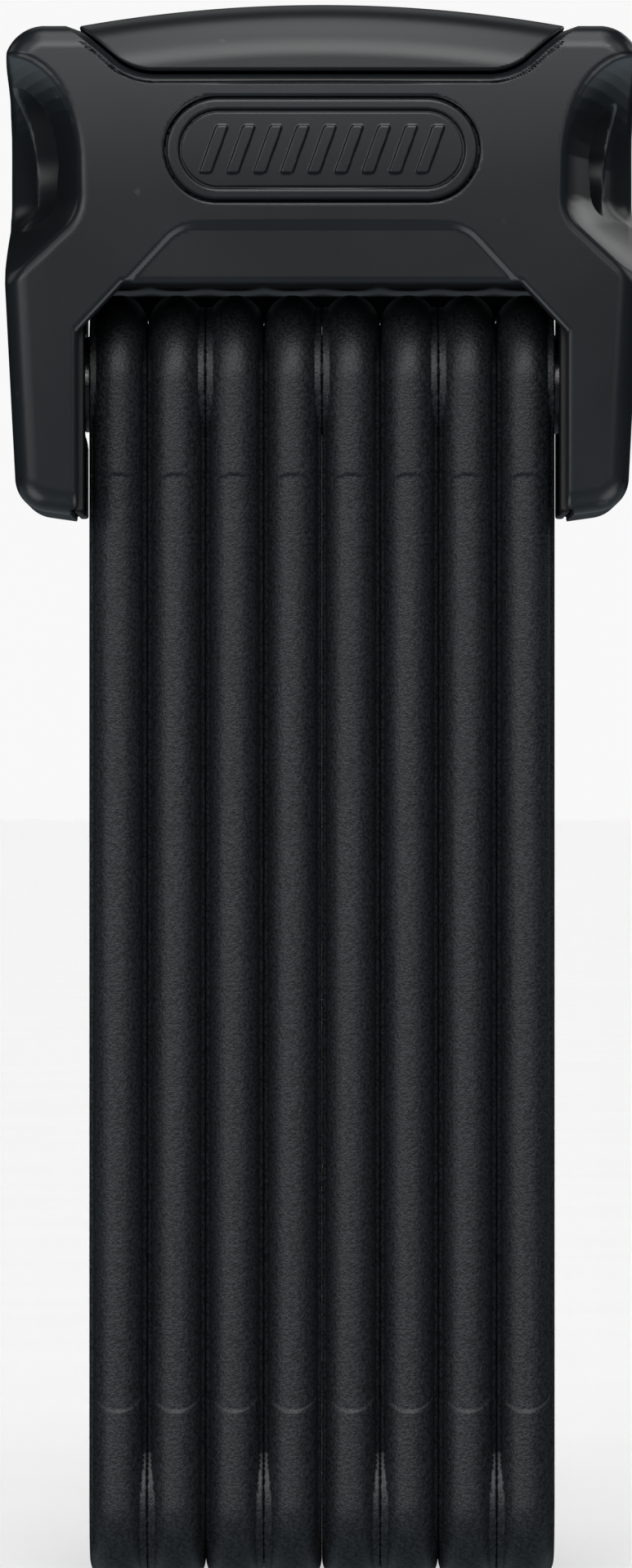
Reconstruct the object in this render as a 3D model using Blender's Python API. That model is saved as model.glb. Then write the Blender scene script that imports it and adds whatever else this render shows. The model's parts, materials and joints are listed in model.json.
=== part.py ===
"""Folding bike lock: eight riveted steel bars that fold up between the two legs of a lock body.

The frame is X across the pack of bars, +Y towards the back, +Z up, with the origin under the
middle of the folded lock. Lengths are in millimetres and become metres where a mesh is written.
"""
import math

import bmesh
import bpy
from mathutils import Matrix, Vector

MM = 0.001
GAP = 0.3                      # clearance between neighbouring pieces

# The chain of bars
BAR_COUNT = 8
BAR_PITCH = 7.8
BAR_THICKNESS = 7.5            # over the jacket
BAR_HALF_WIDTH = 12.0
PIVOT_LOW = 12.0               # height of the lower row of pivots
PIVOT_SPAN = 150.0
PIVOT_HIGH = PIVOT_LOW + PIVOT_SPAN
EDGE_RADIUS = BAR_THICKNESS / 2
CORE_THICKNESS = 4.8
CORE_HALF_WIDTH = 9.6
DISC_RADIUS = 10.4             # boss of a jacket round a pivot, on the side of the joint
SHANK_RADIUS = 3.5
HEAD_RADIUS = 5.5
WASHER_RADIUS = 6.7
HEAD_OUTER = EDGE_RADIUS - 0.05
HEAD_INNER = CORE_THICKNESS / 2 + GAP

# The lock body
BODY_HALF_WIDTH = 42.4
BODY_HALF_DEPTH = 20.0
SHOULDER_TOP = 209.0
CROWN_TOP = 212.3
COVER_LINE = 202.6             # lower edge of the top cover
BADGE_HEIGHT = 192.5
BAY_HALF_WIDTH = 32.4          # between the legs
BAY_TOP = 174.6
BLOCK_FLOOR = 177.4            # of the space for the case, over the bay
BAY_CORNER = 6.0               # fillet of the front edge of the bay
LEG_BOTTOM = 143.6
SEAT_BOTTOM = 148.4            # of the space for the steel insert in each leg
WALL = 2.4
LINER_BOTTOM = 144.3
LINER_INNER = 31.8
INSERT_INNER = 33.3
INSERT_OUTER = 39.7

# The lock work
CYLINDER_HEIGHT = 192.3
KEYHOLE_RADIUS = 9.6
RECESS_RADIUS = 7.35
CYLINDER_RADIUS = 9.3
PLUG_RADIUS = 6.9
CODE_DISCS = 5
BOLT_TRAVEL = 3.2
STUD_RADIUS = 4.5
NECK_RADIUS = 3.0
BOLT_OUTER = 36.6
BOLT_INNER = 34.8
BOLT_HALF_WIDTH = 5.4
SPRING_PLACE = (2.0, 198.8)    # x and z of the post that holds the bolt's spring


# ---------------------------------------------------------------- materials and objects

def material(name, colour, roughness, metallic=0.0):
    made = bpy.data.materials.new(name)
    made.use_nodes = True
    shader = made.node_tree.nodes["Principled BSDF"]
    shader.inputs["Base Color"].default_value = (*colour, 1.0)
    shader.inputs["Roughness"].default_value = roughness
    shader.inputs["Metallic"].default_value = metallic
    return made


def clear_scene():
    for old in list(bpy.data.objects):
        bpy.data.objects.remove(old)


def write_mesh(name, bm):
    """Turn a bmesh in millimetres into a mesh in metres, with round faces shaded smooth."""
    bmesh.ops.recalc_face_normals(bm, faces=bm.faces)
    bmesh.ops.scale(bm, vec=(MM, MM, MM), verts=bm.verts)
    mesh = bpy.data.meshes.new(name)
    bm.to_mesh(mesh)
    bm.free()
    mesh.shade_smooth()
    mesh.set_sharp_from_angle(angle=math.radians(35))
    return mesh


def add_object(name, mesh, coat=None):
    thing = bpy.data.objects.new(name, mesh)
    bpy.context.scene.collection.objects.link(thing)
    if coat and not mesh.materials:
        mesh.materials.append(coat)
    return thing


def place(thing, pivot):
    """Put the object's origin at a pivot, in millimetres, and leave its mesh where it is."""
    origin = Vector(pivot) * MM
    thing.data.transform(Matrix.Translation(-origin))
    thing.location = origin


def carve(thing, cutters, operation="DIFFERENCE"):
    """Cut each solid out of the object, or join it on, with the cutters left as guides."""
    for index, shape in enumerate(cutters):
        cutter = add_object(f"{thing.name}_{operation.lower()}_{index}", write_mesh("cutter", shape))
        cutter.hide_render = True
        cutter.display_type = "WIRE"
        change = thing.modifiers.new(cutter.name, "BOOLEAN")
        change.operation = operation
        change.object = cutter


def soften(thing, width):
    """Round the object's sharp edges over."""
    edges = thing.modifiers.new("round_edges", "BEVEL")
    edges.width = width * MM
    edges.segments = 2
    edges.limit_method = "ANGLE"
    edges.angle_limit = math.radians(60)


def settled_mesh(thing, name):
    """The object's mesh with its modifiers applied; the object and its cutters are removed."""
    cutters = [change.object for change in thing.modifiers]
    bpy.context.view_layer.update()
    seen = thing.evaluated_get(bpy.context.evaluated_depsgraph_get())
    mesh = bpy.data.meshes.new_from_object(seen)
    mesh.name = name
    for old in cutters + [thing]:
        bpy.data.objects.remove(old)
    return mesh


# ---------------------------------------------------------------- solids, in millimetres

def box(x, y, z):
    """A box from three (low, high) pairs."""
    bm = bmesh.new()
    made = bmesh.ops.create_cube(bm, size=1.0)
    size = [span[1] - span[0] for span in (x, y, z)]
    centre = [(span[1] + span[0]) / 2 for span in (x, y, z)]
    bmesh.ops.scale(bm, vec=size, verts=made["verts"])
    bmesh.ops.translate(bm, vec=centre, verts=made["verts"])
    return bm


def bridge(bm, first, second):
    """Join two equal closed loops of vertices with a band of faces."""
    count = len(first)
    for i in range(count):
        j = (i + 1) % count
        bm.faces.new((first[i], first[j], second[j], second[i]))


def prism(outline, y_low, y_high):
    """Push a closed (x, z) outline through from y_low to y_high."""
    bm = bmesh.new()
    near = [bm.verts.new((x, y_low, z)) for x, z in outline]
    far = [bm.verts.new((x, y_high, z)) for x, z in outline]
    bridge(bm, near, far)
    bm.faces.new(near)
    bm.faces.new(list(reversed(far)))
    return bm


def turned(profile, y=0.0, z=0.0, segments=16):
    """Turn an (x, radius) profile about a line along X; a profile off the line closes on itself."""
    bm = bmesh.new()
    rings = []
    for x, radius in profile:
        if radius == 0.0:
            rings.append([bm.verts.new((x, y, z))])
            continue
        turns = [2 * math.pi * i / segments for i in range(segments)]
        rings.append([bm.verts.new((x, y + radius * math.sin(a), z + radius * math.cos(a))) for a in turns])
    hollow = len(rings[0]) > 1
    pairs = list(zip(rings, rings[1:]))
    if hollow:
        pairs.append((rings[-1], rings[0]))
    for first, second in pairs:
        if len(first) > 1 and len(second) > 1:
            bridge(bm, first, second)
            continue
        tip, rim = (first, second) if len(first) == 1 else (second, first)
        for i in range(segments):
            bm.faces.new((tip[0], rim[i], rim[(i + 1) % segments]))
    return bm


def rod(radius, x, y=0.0, z=0.0, segments=16):
    """A plain round bar along X between two ends."""
    return turned([(x[0], 0.0), (x[0], radius), (x[1], radius), (x[1], 0.0)], y, z, segments)


def tube(inner, outer, x, y=0.0, z=0.0, segments=16):
    """A round tube along X between two ends."""
    return turned([(x[0], inner), (x[0], outer), (x[1], outer), (x[1], inner)], y, z, segments)


def turned_along_y(profile, x, z, segments=12):
    """Turn a (y, radius) profile about a line along Y."""
    bm = turned(profile, z=z, segments=segments)
    bmesh.ops.rotate(bm, matrix=Matrix.Rotation(math.pi / 2, 3, "Z"), verts=bm.verts)
    bmesh.ops.translate(bm, vec=(x, 0.0, 0.0), verts=bm.verts)
    return bm


def hull(points):
    """The convex solid round a set of points."""
    bm = bmesh.new()
    for point in points:
        bm.verts.new(point)
    made = bmesh.ops.convex_hull(bm, input=bm.verts)
    loose = [item for item in made["geom_interior"] if isinstance(item, bmesh.types.BMVert)]
    bmesh.ops.delete(bm, geom=loose, context="VERTS")
    return bm


def arc(centre, radius, start, end, steps):
    """Points on an arc in the plane of an outline, from one angle to another in degrees."""
    angles = [math.radians(start + (end - start) * i / steps) for i in range(steps + 1)]
    return [(centre[0] + radius * math.cos(a), centre[1] + radius * math.sin(a)) for a in angles]


def mirrored(outline):
    """An outline's other half, in the order that carries on round the shape."""
    return [(-x, z) for x, z in reversed(outline)]


# ---------------------------------------------------------------- bars

def bar_outline(half_width, steps):
    """The (y, z) stadium round both pivots, at one half width."""
    top = arc((0.0, PIVOT_HIGH), half_width, 0, 180, steps)
    bottom = arc((0.0, PIVOT_LOW), half_width, 180, 360, steps)
    return top + bottom


def plate(rings, steps=6):
    """A closed bar from a list of (x, half width), flat at both ends of the list."""
    bm = bmesh.new()
    loops = []
    for x, half_width in rings:
        loops.append([bm.verts.new((x, y, z)) for y, z in bar_outline(half_width, steps)])
    for first, second in zip(loops, loops[1:]):
        bridge(bm, first, second)
    bm.faces.new(loops[0])
    bm.faces.new(list(reversed(loops[-1])))
    return bm


def jacket_mesh(coat):
    """Moulded jacket: rounded edges, a boss round each pivot, and a window on each side of it.

    The upper joint is on the +X side and the lower joint on the -X side.
    """
    steps = 6
    angles = [math.radians(-90 + 180 * i / steps) for i in range(steps + 1)]
    flat = BAR_HALF_WIDTH - EDGE_RADIUS
    rings = [(EDGE_RADIUS * math.sin(a), flat + EDGE_RADIUS * math.cos(a)) for a in angles]
    outside = plate(rings, steps=8)
    thing = add_object("jacket", write_mesh("jacket", outside), coat)
    cavity_x = CORE_THICKNESS / 2 + GAP
    cavity_width = CORE_HALF_WIDTH + GAP
    bosses = []
    hollows = [plate([(-cavity_x, cavity_width), (cavity_x, cavity_width)])]
    for side, height in ((1, PIVOT_HIGH), (-1, PIVOT_LOW)):
        bosses.append(rod(DISC_RADIUS, (side * 1.0, side * HEAD_OUTER), z=height, segments=20))
        hollows.append(rod(WASHER_RADIUS + GAP, (0.0, side * 5.0), z=height))
        hollows.append(rod(HEAD_RADIUS + GAP, (0.0, -side * 5.0), z=height))
    carve(thing, bosses, "UNION")
    carve(thing, hollows)
    return settled_mesh(thing, "jacket")


def core_mesh(coat):
    """Flat steel bar with round ends and a hole at each pivot."""
    half = CORE_THICKNESS / 2
    shape = plate([(-half, CORE_HALF_WIDTH), (half, CORE_HALF_WIDTH)])
    thing = add_object("core", write_mesh("core", shape), coat)
    holes = [rod(SHANK_RADIUS + GAP, (-9.0, 9.0), z=height) for height in (PIVOT_HIGH, PIVOT_LOW)]
    carve(thing, holes)
    return settled_mesh(thing, "core")


def bar_x(number):
    return (number - (BAR_COUNT + 1) / 2) * BAR_PITCH


def moving_pivot(number):
    """Where a bar turns on the bar or body that carries it: even bars at the top, odd at the bottom."""
    height = PIVOT_HIGH if number % 2 == 0 else PIVOT_LOW
    return Vector((bar_x(number), 0.0, height)) * MM


def add_bars(steel, jacket_coat):
    """Eight bars; an even bar is turned half round, so that its joints face its neighbours."""
    core = core_mesh(steel)
    jacket = jacket_mesh(jacket_coat)
    for number in range(1, BAR_COUNT + 1):
        axis = bpy.data.objects.new(f"bar_{number}_axis", None)
        bpy.context.scene.collection.objects.link(axis)
        axis.location = moving_pivot(number)
        turn = 0.0 if number % 2 == 0 else math.pi
        for kind, mesh in (("core", core), ("jacket", jacket)):
            thing = add_object(f"bar_{number}_{kind}", mesh)
            thing.parent = axis
            thing.location = (0.0, 0.0, -axis.location.z)
            thing.rotation_euler = (0.0, 0.0, turn)


def add_rivets(steel):
    """A rivet and a spacer washer for each pair of bars, at the top or the bottom by turns."""
    reach = BAR_PITCH / 2
    profile = [
        (-reach - HEAD_OUTER, 0.0), (-reach - HEAD_OUTER, HEAD_RADIUS - 0.4),
        (-reach - HEAD_OUTER + 0.3, HEAD_RADIUS), (-reach - HEAD_INNER, HEAD_RADIUS),
        (-reach - HEAD_INNER, SHANK_RADIUS), (reach + HEAD_INNER, SHANK_RADIUS),
        (reach + HEAD_INNER, HEAD_RADIUS), (reach + HEAD_OUTER - 0.3, HEAD_RADIUS),
        (reach + HEAD_OUTER, HEAD_RADIUS - 0.4), (reach + HEAD_OUTER, 0.0),
    ]
    washer_half = reach - CORE_THICKNESS / 2 - GAP
    for number in range(1, BAR_COUNT):
        middle = bar_x(number) + reach
        height = PIVOT_LOW if number % 2 else PIVOT_HIGH
        shifted = [(middle + x, radius) for x, radius in profile]
        name = f"rivet_{number}_{number + 1}"
        rivet = add_object(name, write_mesh(name, turned(shifted, z=height, segments=14)), steel)
        place(rivet, (middle, 0.0, height))
        span = (middle - washer_half, middle + washer_half)
        shape = tube(SHANK_RADIUS + GAP, WASHER_RADIUS, span, z=height, segments=14)
        name = f"washer_{number}_{number + 1}"
        place(add_object(name, write_mesh(name, shape), steel), (middle, 0.0, height))


def add_closing_stud(steel):
    """Stud on the free end of bar 1, with the neck that the locking bolt drops over."""
    x = bar_x(1)
    profile = [
        (x + HEAD_OUTER, 0.0), (x + HEAD_OUTER, HEAD_RADIUS), (x + HEAD_INNER, HEAD_RADIUS),
        (x + HEAD_INNER, SHANK_RADIUS), (x - HEAD_INNER, SHANK_RADIUS), (x - HEAD_INNER, 6.5),
        (-32.0, 6.5), (-32.0, STUD_RADIUS), (-34.5, STUD_RADIUS), (-34.5, NECK_RADIUS),
        (-36.9, NECK_RADIUS), (-36.9, STUD_RADIUS), (-38.0, STUD_RADIUS), (-38.5, 3.8), (-38.5, 0.0),
    ]
    shape = turned(profile, z=PIVOT_HIGH)
    place(add_object("closing_stud", write_mesh("closing_stud", shape), steel), (x, 0.0, PIVOT_HIGH))


def add_body_pivot(steel):
    """Pin and washer that carry bar 8 on the right leg."""
    x = bar_x(BAR_COUNT)
    profile = [
        (x - HEAD_OUTER, 0.0), (x - HEAD_OUTER, HEAD_RADIUS), (x - HEAD_INNER, HEAD_RADIUS),
        (x - HEAD_INNER, SHANK_RADIUS), (37.2, SHANK_RADIUS), (37.2, HEAD_RADIUS), (39.0, HEAD_RADIUS),
        (39.0, 0.0),
    ]
    shape = turned(profile, z=PIVOT_HIGH)
    place(add_object("body_pivot_pin", write_mesh("body_pivot_pin", shape), steel), (x, 0.0, PIVOT_HIGH))
    span = (x + HEAD_INNER, INSERT_INNER - GAP)
    shape = tube(SHANK_RADIUS + GAP, WASHER_RADIUS, span, z=PIVOT_HIGH)
    place(add_object("body_pivot_washer", write_mesh("body_pivot_washer", shape), steel), (x, 0.0, PIVOT_HIGH))


# ---------------------------------------------------------------- lock body

def cover_line(lift):
    """Right half of the line between housing and top cover, from the middle out to the shoulder."""
    bend = arc((22.2, COVER_LINE + lift + 8.0), 8.0, -90, -49, 4)
    run = SHOULDER_TOP + lift - bend[-1][1]
    end = (bend[-1][0] + run / math.tan(math.radians(41)), SHOULDER_TOP + lift)
    return bend + [end]


def housing_outline():
    """Front view of the moulded housing: shoulders, tapered legs and the bay between the legs."""
    leg = [(BAY_HALF_WIDTH, BAY_TOP), (BAY_HALF_WIDTH, LEG_BOTTOM)]
    leg += arc((36.3, LEG_BOTTOM + 5.2), 4.6, -85, -6, 4)
    shoulder = [(BODY_HALF_WIDTH, 177.0)] + arc((36.9, SHOULDER_TOP - 5.5), 5.5, 0, 85, 5)
    saddle = list(reversed(cover_line(0.0)))
    half = leg + shoulder + saddle
    return half + mirrored(half)


def scoop(side):
    """Cutter for the hollow at a front corner, which leans back to the rim behind the keyhole."""
    front = [(43.5, 205.2), (35.5, 201.5), (32.6, 193.5), (32.4, 188.5), (41.0, 176.6), (43.5, 175.8)]
    rear = [(43.5, 202.0), (39.4, 200.0), (39.2, 184.0), (43.5, 181.0)]
    points = [(side * x, -BODY_HALF_DEPTH - 0.5, z) for x, z in front]
    points += [(side * x, 14.0, z) for x, z in rear]
    points += [(side * 43.5, 17.5, 201.0), (side * 43.5, 17.5, 182.0)]
    return hull(points)


def trapezoid_facet():
    """Cutter for the leaning facet over the bay, deepest at the bay's front edge."""
    top, bottom, half_top = 183.0, BAY_TOP - 1.0, 19.2
    lower = half_top + (top - bottom) / math.tan(math.radians(47))
    y_out = -BODY_HALF_DEPTH - 1.0
    points = [(-half_top, y_out, top), (half_top, y_out, top), (-lower, y_out, bottom), (lower, y_out, bottom)]
    points += [(-half_top, -BODY_HALF_DEPTH, top), (half_top, -BODY_HALF_DEPTH, top)]
    points += [(-lower, -BODY_HALF_DEPTH + 1.0, bottom), (lower, -BODY_HALF_DEPTH + 1.0, bottom)]
    return hull(points)


def stadium_prism(half_length, half_height, z, y_low, y_high, steps=7):
    straight = half_length - half_height
    outline = arc((straight, z), half_height, -90, 90, steps)
    outline += arc((-straight, z), half_height, 90, 270, steps)
    return prism(outline, y_low, y_high)


def stud_way(radius, x, y_end):
    """The stud's path out of the left leg: a round seat that opens towards the back."""
    points = []
    fall = PIVOT_SPAN - math.sqrt(PIVOT_SPAN ** 2 - y_end ** 2)
    for y, z in ((0.0, PIVOT_HIGH), (y_end, PIVOT_HIGH), (y_end, PIVOT_HIGH - fall)):
        ring = arc((y, z), radius, 0, 345, 23)
        points += [(end, ring_y, ring_z) for end in x for ring_y, ring_z in ring]
    return hull(points)


def bay_corner(side):
    """The small web across a front corner of the bay, in the thickness of the front wall."""
    low = BAY_TOP - BAY_CORNER
    inner = BAY_HALF_WIDTH - BAY_CORNER
    outline = [(side * inner, BAY_TOP + 0.5), (side * inner, BAY_TOP), (side * BAY_HALF_WIDTH, low)]
    outline += [(side * (BAY_HALF_WIDTH + 0.5), low), (side * (BAY_HALF_WIDTH + 0.5), BAY_TOP + 0.5)]
    return prism(outline, -BODY_HALF_DEPTH + 1.2, -BODY_HALF_DEPTH + 3.4)


def add_housing(plastic):
    shape = prism(housing_outline(), -BODY_HALF_DEPTH, BODY_HALF_DEPTH)
    housing = add_object("housing", write_mesh("housing", shape), plastic)
    soften(housing, 1.4)
    inside = BODY_HALF_DEPTH - WALL
    carve(housing, [bay_corner(-1), bay_corner(1)], "UNION")
    seat_top = 173.5
    leg_outer = INSERT_OUTER + GAP
    cutters = [
        scoop(-1), scoop(1), trapezoid_facet(),
        stadium_prism(21.15, 7.05, BADGE_HEIGHT, -BODY_HALF_DEPTH - 1.0, -BODY_HALF_DEPTH + 1.2),
        box((-29.0, 29.0), (-inside, inside), (BLOCK_FLOOR, SHOULDER_TOP + 5.0)),
        rod(KEYHOLE_RADIUS, (-45.0, -28.0), z=CYLINDER_HEIGHT, segments=32),
        rod(RECESS_RADIUS, (33.0, 45.0), z=CYLINDER_HEIGHT, segments=28),
        box((-BOLT_OUTER - GAP, -28.0), (-5.7, 5.7), (seat_top - 1.0, 184.0)),
        stud_way(STUD_RADIUS + 0.8, (-39.0, -30.0), 26.0),
    ]
    for side in (-1, 1):
        span = sorted((side * leg_outer, side * (BAY_HALF_WIDTH - 2.0)))
        cutters.append(box(span, (-inside, inside), (SEAT_BOTTOM, seat_top)))
        span = sorted((side * INSERT_INNER, side * (BAY_HALF_WIDTH - 2.0)))
        cutters.append(box(span, (-inside, inside), (LEG_BOTTOM - 2.0, SEAT_BOTTOM + 1.0)))
    carve(housing, cutters)


def add_top_cover(plastic):
    """Crowned cover that closes the body from above and drops into the saddle of the housing."""
    line = [(x, z) for x, z in cover_line(GAP)]
    rise = CROWN_TOP - SHOULDER_TOP - GAP
    half_chord = line[-1][0]
    radius = (half_chord ** 2 + rise ** 2) / (2 * rise)
    lean = math.degrees(math.asin(half_chord / radius))
    crown = arc((0.0, CROWN_TOP - radius), radius, 90 - lean, 90 + lean, 10)
    outline = line[:-1] + crown + [(-x, z) for x, z in reversed(line[:-1])]
    shape = prism(outline, -BODY_HALF_DEPTH, BODY_HALF_DEPTH)
    cover = add_object("top_cover", write_mesh("top_cover", shape), plastic)
    soften(cover, 0.8)
    inside = BODY_HALF_DEPTH - WALL
    carve(cover, [box((-22.0, 22.0), (-inside, inside), (COVER_LINE - 1.0, SHOULDER_TOP))])


def add_badge(plastic):
    """Blank stadium badge in the front recess, and the inlay in the middle of it."""
    front = -BODY_HALF_DEPTH
    shape = stadium_prism(20.85, 6.75, BADGE_HEIGHT, front, front + 0.9)
    badge = add_object("front_badge", write_mesh("front_badge", shape), plastic)
    carve(badge, [stadium_prism(19.1, 5.25, BADGE_HEIGHT, front - 1.0, front + 0.5)])
    shape = stadium_prism(18.8, 4.95, BADGE_HEIGHT, front, front + 0.2)
    add_object("badge_inlay", write_mesh("badge_inlay", shape), plastic)


def add_leg_inserts(steel, plastic):
    """Steel insert and plastic liner in each leg: the stud's seat on the left, the pivot's on the right."""
    inside = BODY_HALF_DEPTH - WALL - GAP
    low, high = SEAT_BOTTOM + GAP, 173.2
    seat = box((-INSERT_OUTER, -INSERT_INNER), (-inside, inside), (low, high))
    seat = add_object("stud_seat", write_mesh("stud_seat", seat), steel)
    carve(seat, [
        stud_way(STUD_RADIUS + 0.4, (-38.8, -30.0), 26.0),
        box((-BOLT_OUTER - GAP, -BOLT_INNER + GAP), (-5.7, 5.7), (PIVOT_HIGH, high + 2.0)),
    ])
    bracket = box((INSERT_INNER, INSERT_OUTER), (-inside, inside), (low, high))
    bracket = add_object("pivot_bracket", write_mesh("pivot_bracket", bracket), steel)
    carve(bracket, [
        rod(SHANK_RADIUS + GAP, (30.0, 45.0), z=PIVOT_HIGH),
        rod(HEAD_RADIUS + GAP, (36.9, 45.0), z=PIVOT_HIGH),
    ])
    for side, name in ((-1, "left_leg_liner"), (1, "right_leg_liner")):
        span = sorted((side * (INSERT_INNER - GAP), side * LINER_INNER))
        liner = box(span, (-inside, inside), (LINER_BOTTOM, high))
        liner = add_object(name, write_mesh(name, liner), plastic)
        if side < 0:
            carve(liner, [stud_way(6.9, (-45.0, -30.0), 26.0)])
        else:
            carve(liner, [rod(WASHER_RADIUS + 0.4, (30.0, 45.0), z=PIVOT_HIGH)])


def add_case(steel):
    """Steel case in two halves, with pockets for the lock work, four screws and the spring's post."""
    far = BODY_HALF_DEPTH - WALL - GAP
    low, high = BLOCK_FLOOR + GAP, COVER_LINE - GAP
    screws = [(x, z) for x in (13.0, 25.0) for z in (181.5, 199.0)]
    post_x, post_z = SPRING_PLACE
    for name, y in (("case_front", (-far, -GAP / 2)), ("case_rear", (GAP / 2, far))):
        half = add_object(name, write_mesh(name, box((-28.7, 28.7), y, (low, high))), steel)
        carve(half, [
            rod(CYLINDER_RADIUS + GAP, (-30.0, -8.7), z=CYLINDER_HEIGHT, segments=24),
            box((-8.7, -4.7), (-5.0, 13.0), (179.2, CYLINDER_HEIGHT + 4.6)),
            box((-30.0, 6.5), (-4.3, 4.3), (low - 1.0, 183.0)),
            box((post_x - 3.0, post_x + 3.0), (-3.0, 3.0), (182.0, post_z + 1.9)),
            turned_along_y([(-6.5, 0.0), (-6.5, 1.8), (6.5, 1.8), (6.5, 0.0)], post_x, post_z),
        ])
        carve(half, [screw(x, z, GAP) for x, z in screws])
    for index, (x, z) in enumerate(screws):
        name = f"case_screw_{index + 1}"
        add_object(name, write_mesh(name, screw(x, z, 0.0)), steel)
    post = turned_along_y([(-6.2, 0.0), (-6.2, 1.4), (6.2, 1.4), (6.2, 0.0)], post_x, post_z)
    add_object("spring_post", write_mesh("spring_post", post), steel)


def screw(x, z, clearance):
    """Cheese-head screw along Y, or its hole with a clearance all round."""
    head, shank = 3.2 + clearance, 1.8 + clearance
    front = -17.0 - 3.0 * clearance
    under = -15.0 + clearance
    end = 12.0 + clearance
    profile = [(front, 0.0), (front, head), (under, head), (under, shank), (end, shank), (end, 0.0)]
    return turned_along_y(profile, x, z)


def keyway(x, half_width=1.3, half_height=4.2):
    """Cutter for the key's slot, upright at rest."""
    z = (CYLINDER_HEIGHT - half_height, CYLINDER_HEIGHT + half_height)
    return box(x, (-half_width, half_width), z)


def cylinder_axis(x):
    return (x, 0.0, CYLINDER_HEIGHT)


def add_cylinder(brass, steel):
    """Key cylinder from the left: tube, slotted plug, code discs, and the driver with its cam."""
    z = CYLINDER_HEIGHT
    shape = tube(PLUG_RADIUS + GAP, CYLINDER_RADIUS, (-31.5, -9.0), z=z, segments=28)
    add_object("cylinder_housing", write_mesh("cylinder_housing", shape), steel)
    plug = add_object("cylinder_plug", write_mesh("plug", rod(PLUG_RADIUS, (-31.3, -26.6), z=z)), brass)
    carve(plug, [keyway((-35.0, -20.0))])
    place(plug, cylinder_axis(-31.3))
    pitch, thickness = 2.2, 1.9
    for number in range(CODE_DISCS):
        start = -26.3 + number * pitch
        name = f"code_disc_{number + 1}"
        disc = add_object(name, write_mesh(name, rod(PLUG_RADIUS, (start, start + thickness), z=z)), brass)
        carve(disc, [keyway((-35.0, -5.0))])
        place(disc, cylinder_axis(start))
    start = -26.3 + CODE_DISCS * pitch
    profile = [(start, 0.0), (start, PLUG_RADIUS), (-9.3, PLUG_RADIUS), (-9.3, 4.0), (-5.0, 4.0), (-5.0, 0.0)]
    driver = add_object("cylinder_driver", write_mesh("driver", turned(profile, z=z)), steel)
    lobe = []
    for y, radius in ((0.0, 3.6), (11.0, 1.5)):
        for ring_y, ring_z in arc((y, z), radius, 0, 330, 11):
            lobe += [(-7.5, ring_y, ring_z), (-5.6, ring_y, ring_z)]
    carve(driver, [hull(lobe)], "UNION")
    place(driver, cylinder_axis(start))


def add_keyhole_cover(plastic):
    """Round dust cover that turns in the mouth of the keyhole; its slot is crossways at rest."""
    z = CYLINDER_HEIGHT
    cover = add_object("keyhole_cover", write_mesh("keyhole_cover", rod(9.2, (-33.0, -31.8), z=z)), plastic)
    slot = box((-35.0, -30.0), (-4.6, 4.6), (z - 1.6, z + 1.6))
    carve(cover, [slot])
    place(cover, cylinder_axis(-33.0))


def add_side_plug(plastic):
    """Plug at the bottom of the round recess on the right."""
    shape = turned([(33.3, 0.0), (33.3, 7.0), (34.2, 7.0), (34.6, 6.4), (34.6, 0.0)], z=CYLINDER_HEIGHT)
    add_object("side_plug", write_mesh("side_plug", shape), plastic)


def add_bolt(steel):
    """Locking bolt: an arm under the cylinder, and a forked plate down to the stud's neck."""
    arm_low, arm_high = 181.1, 182.7
    tip = PIVOT_HIGH + NECK_RADIUS + 0.4
    shape = box((-BOLT_OUTER, -BOLT_INNER), (-BOLT_HALF_WIDTH, BOLT_HALF_WIDTH), (tip, arm_high))
    bolt = add_object("locking_bolt", write_mesh("locking_bolt", shape), steel)
    carve(bolt, [box((-BOLT_INNER - 0.5, 6.0), (-4.0, 4.0), (arm_low, arm_high - 0.05))], "UNION")
    carve(bolt, [box((-45.0, -30.0), (-3.3, 3.3), (tip - 1.0, tip + BOLT_TRAVEL + 0.3))])
    place(bolt, (-BOLT_INNER, 0.0, arm_high))


def add_bolt_spring(steel):
    """Coil spring that draws the bolt up again, from the arm to the post."""
    turns, steps, sides = 5, 9, 4
    coil_radius, wire = 2.2, 0.4
    low, high = 183.0 + wire, SPRING_PLACE[1] - 1.7 - wire
    bm = bmesh.new()
    rings = []
    for i in range(turns * steps + 1):
        part = i / (turns * steps)
        angle = 2 * math.pi * turns * part
        out = Vector((math.cos(angle), math.sin(angle), 0.0))
        centre = Vector((SPRING_PLACE[0], 0.0, low + (high - low) * part)) + coil_radius * out
        ring = []
        for j in range(sides):
            around = 2 * math.pi * j / sides
            ring.append(bm.verts.new(centre + wire * (out * math.cos(around) + Vector((0, 0, math.sin(around))))))
        rings.append(ring)
    for first, second in zip(rings, rings[1:]):
        bridge(bm, first, second)
    bm.faces.new(rings[0])
    bm.faces.new(list(reversed(rings[-1])))
    add_object("bolt_spring", write_mesh("bolt_spring", bm), steel)


def build():
    clear_scene()
    black = material("housing_black", (0.020, 0.020, 0.021), 0.38)
    jacket = material("jacket_black", (0.026, 0.026, 0.028), 0.62)
    liner = material("liner_black", (0.012, 0.012, 0.013), 0.5)
    steel = material("hardened_steel", (0.46, 0.46, 0.47), 0.32, 1.0)
    brass = material("cylinder_brass", (0.62, 0.47, 0.22), 0.35, 1.0)
    add_bars(steel, jacket)
    add_rivets(steel)
    add_closing_stud(steel)
    add_body_pivot(steel)
    add_housing(black)
    add_top_cover(black)
    add_badge(black)
    add_leg_inserts(steel, liner)
    add_case(steel)
    add_cylinder(brass, steel)
    add_keyhole_cover(liner)
    add_side_plug(liner)
    add_bolt(steel)
    add_bolt_spring(steel)


build()
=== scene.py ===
import json
import math

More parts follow.
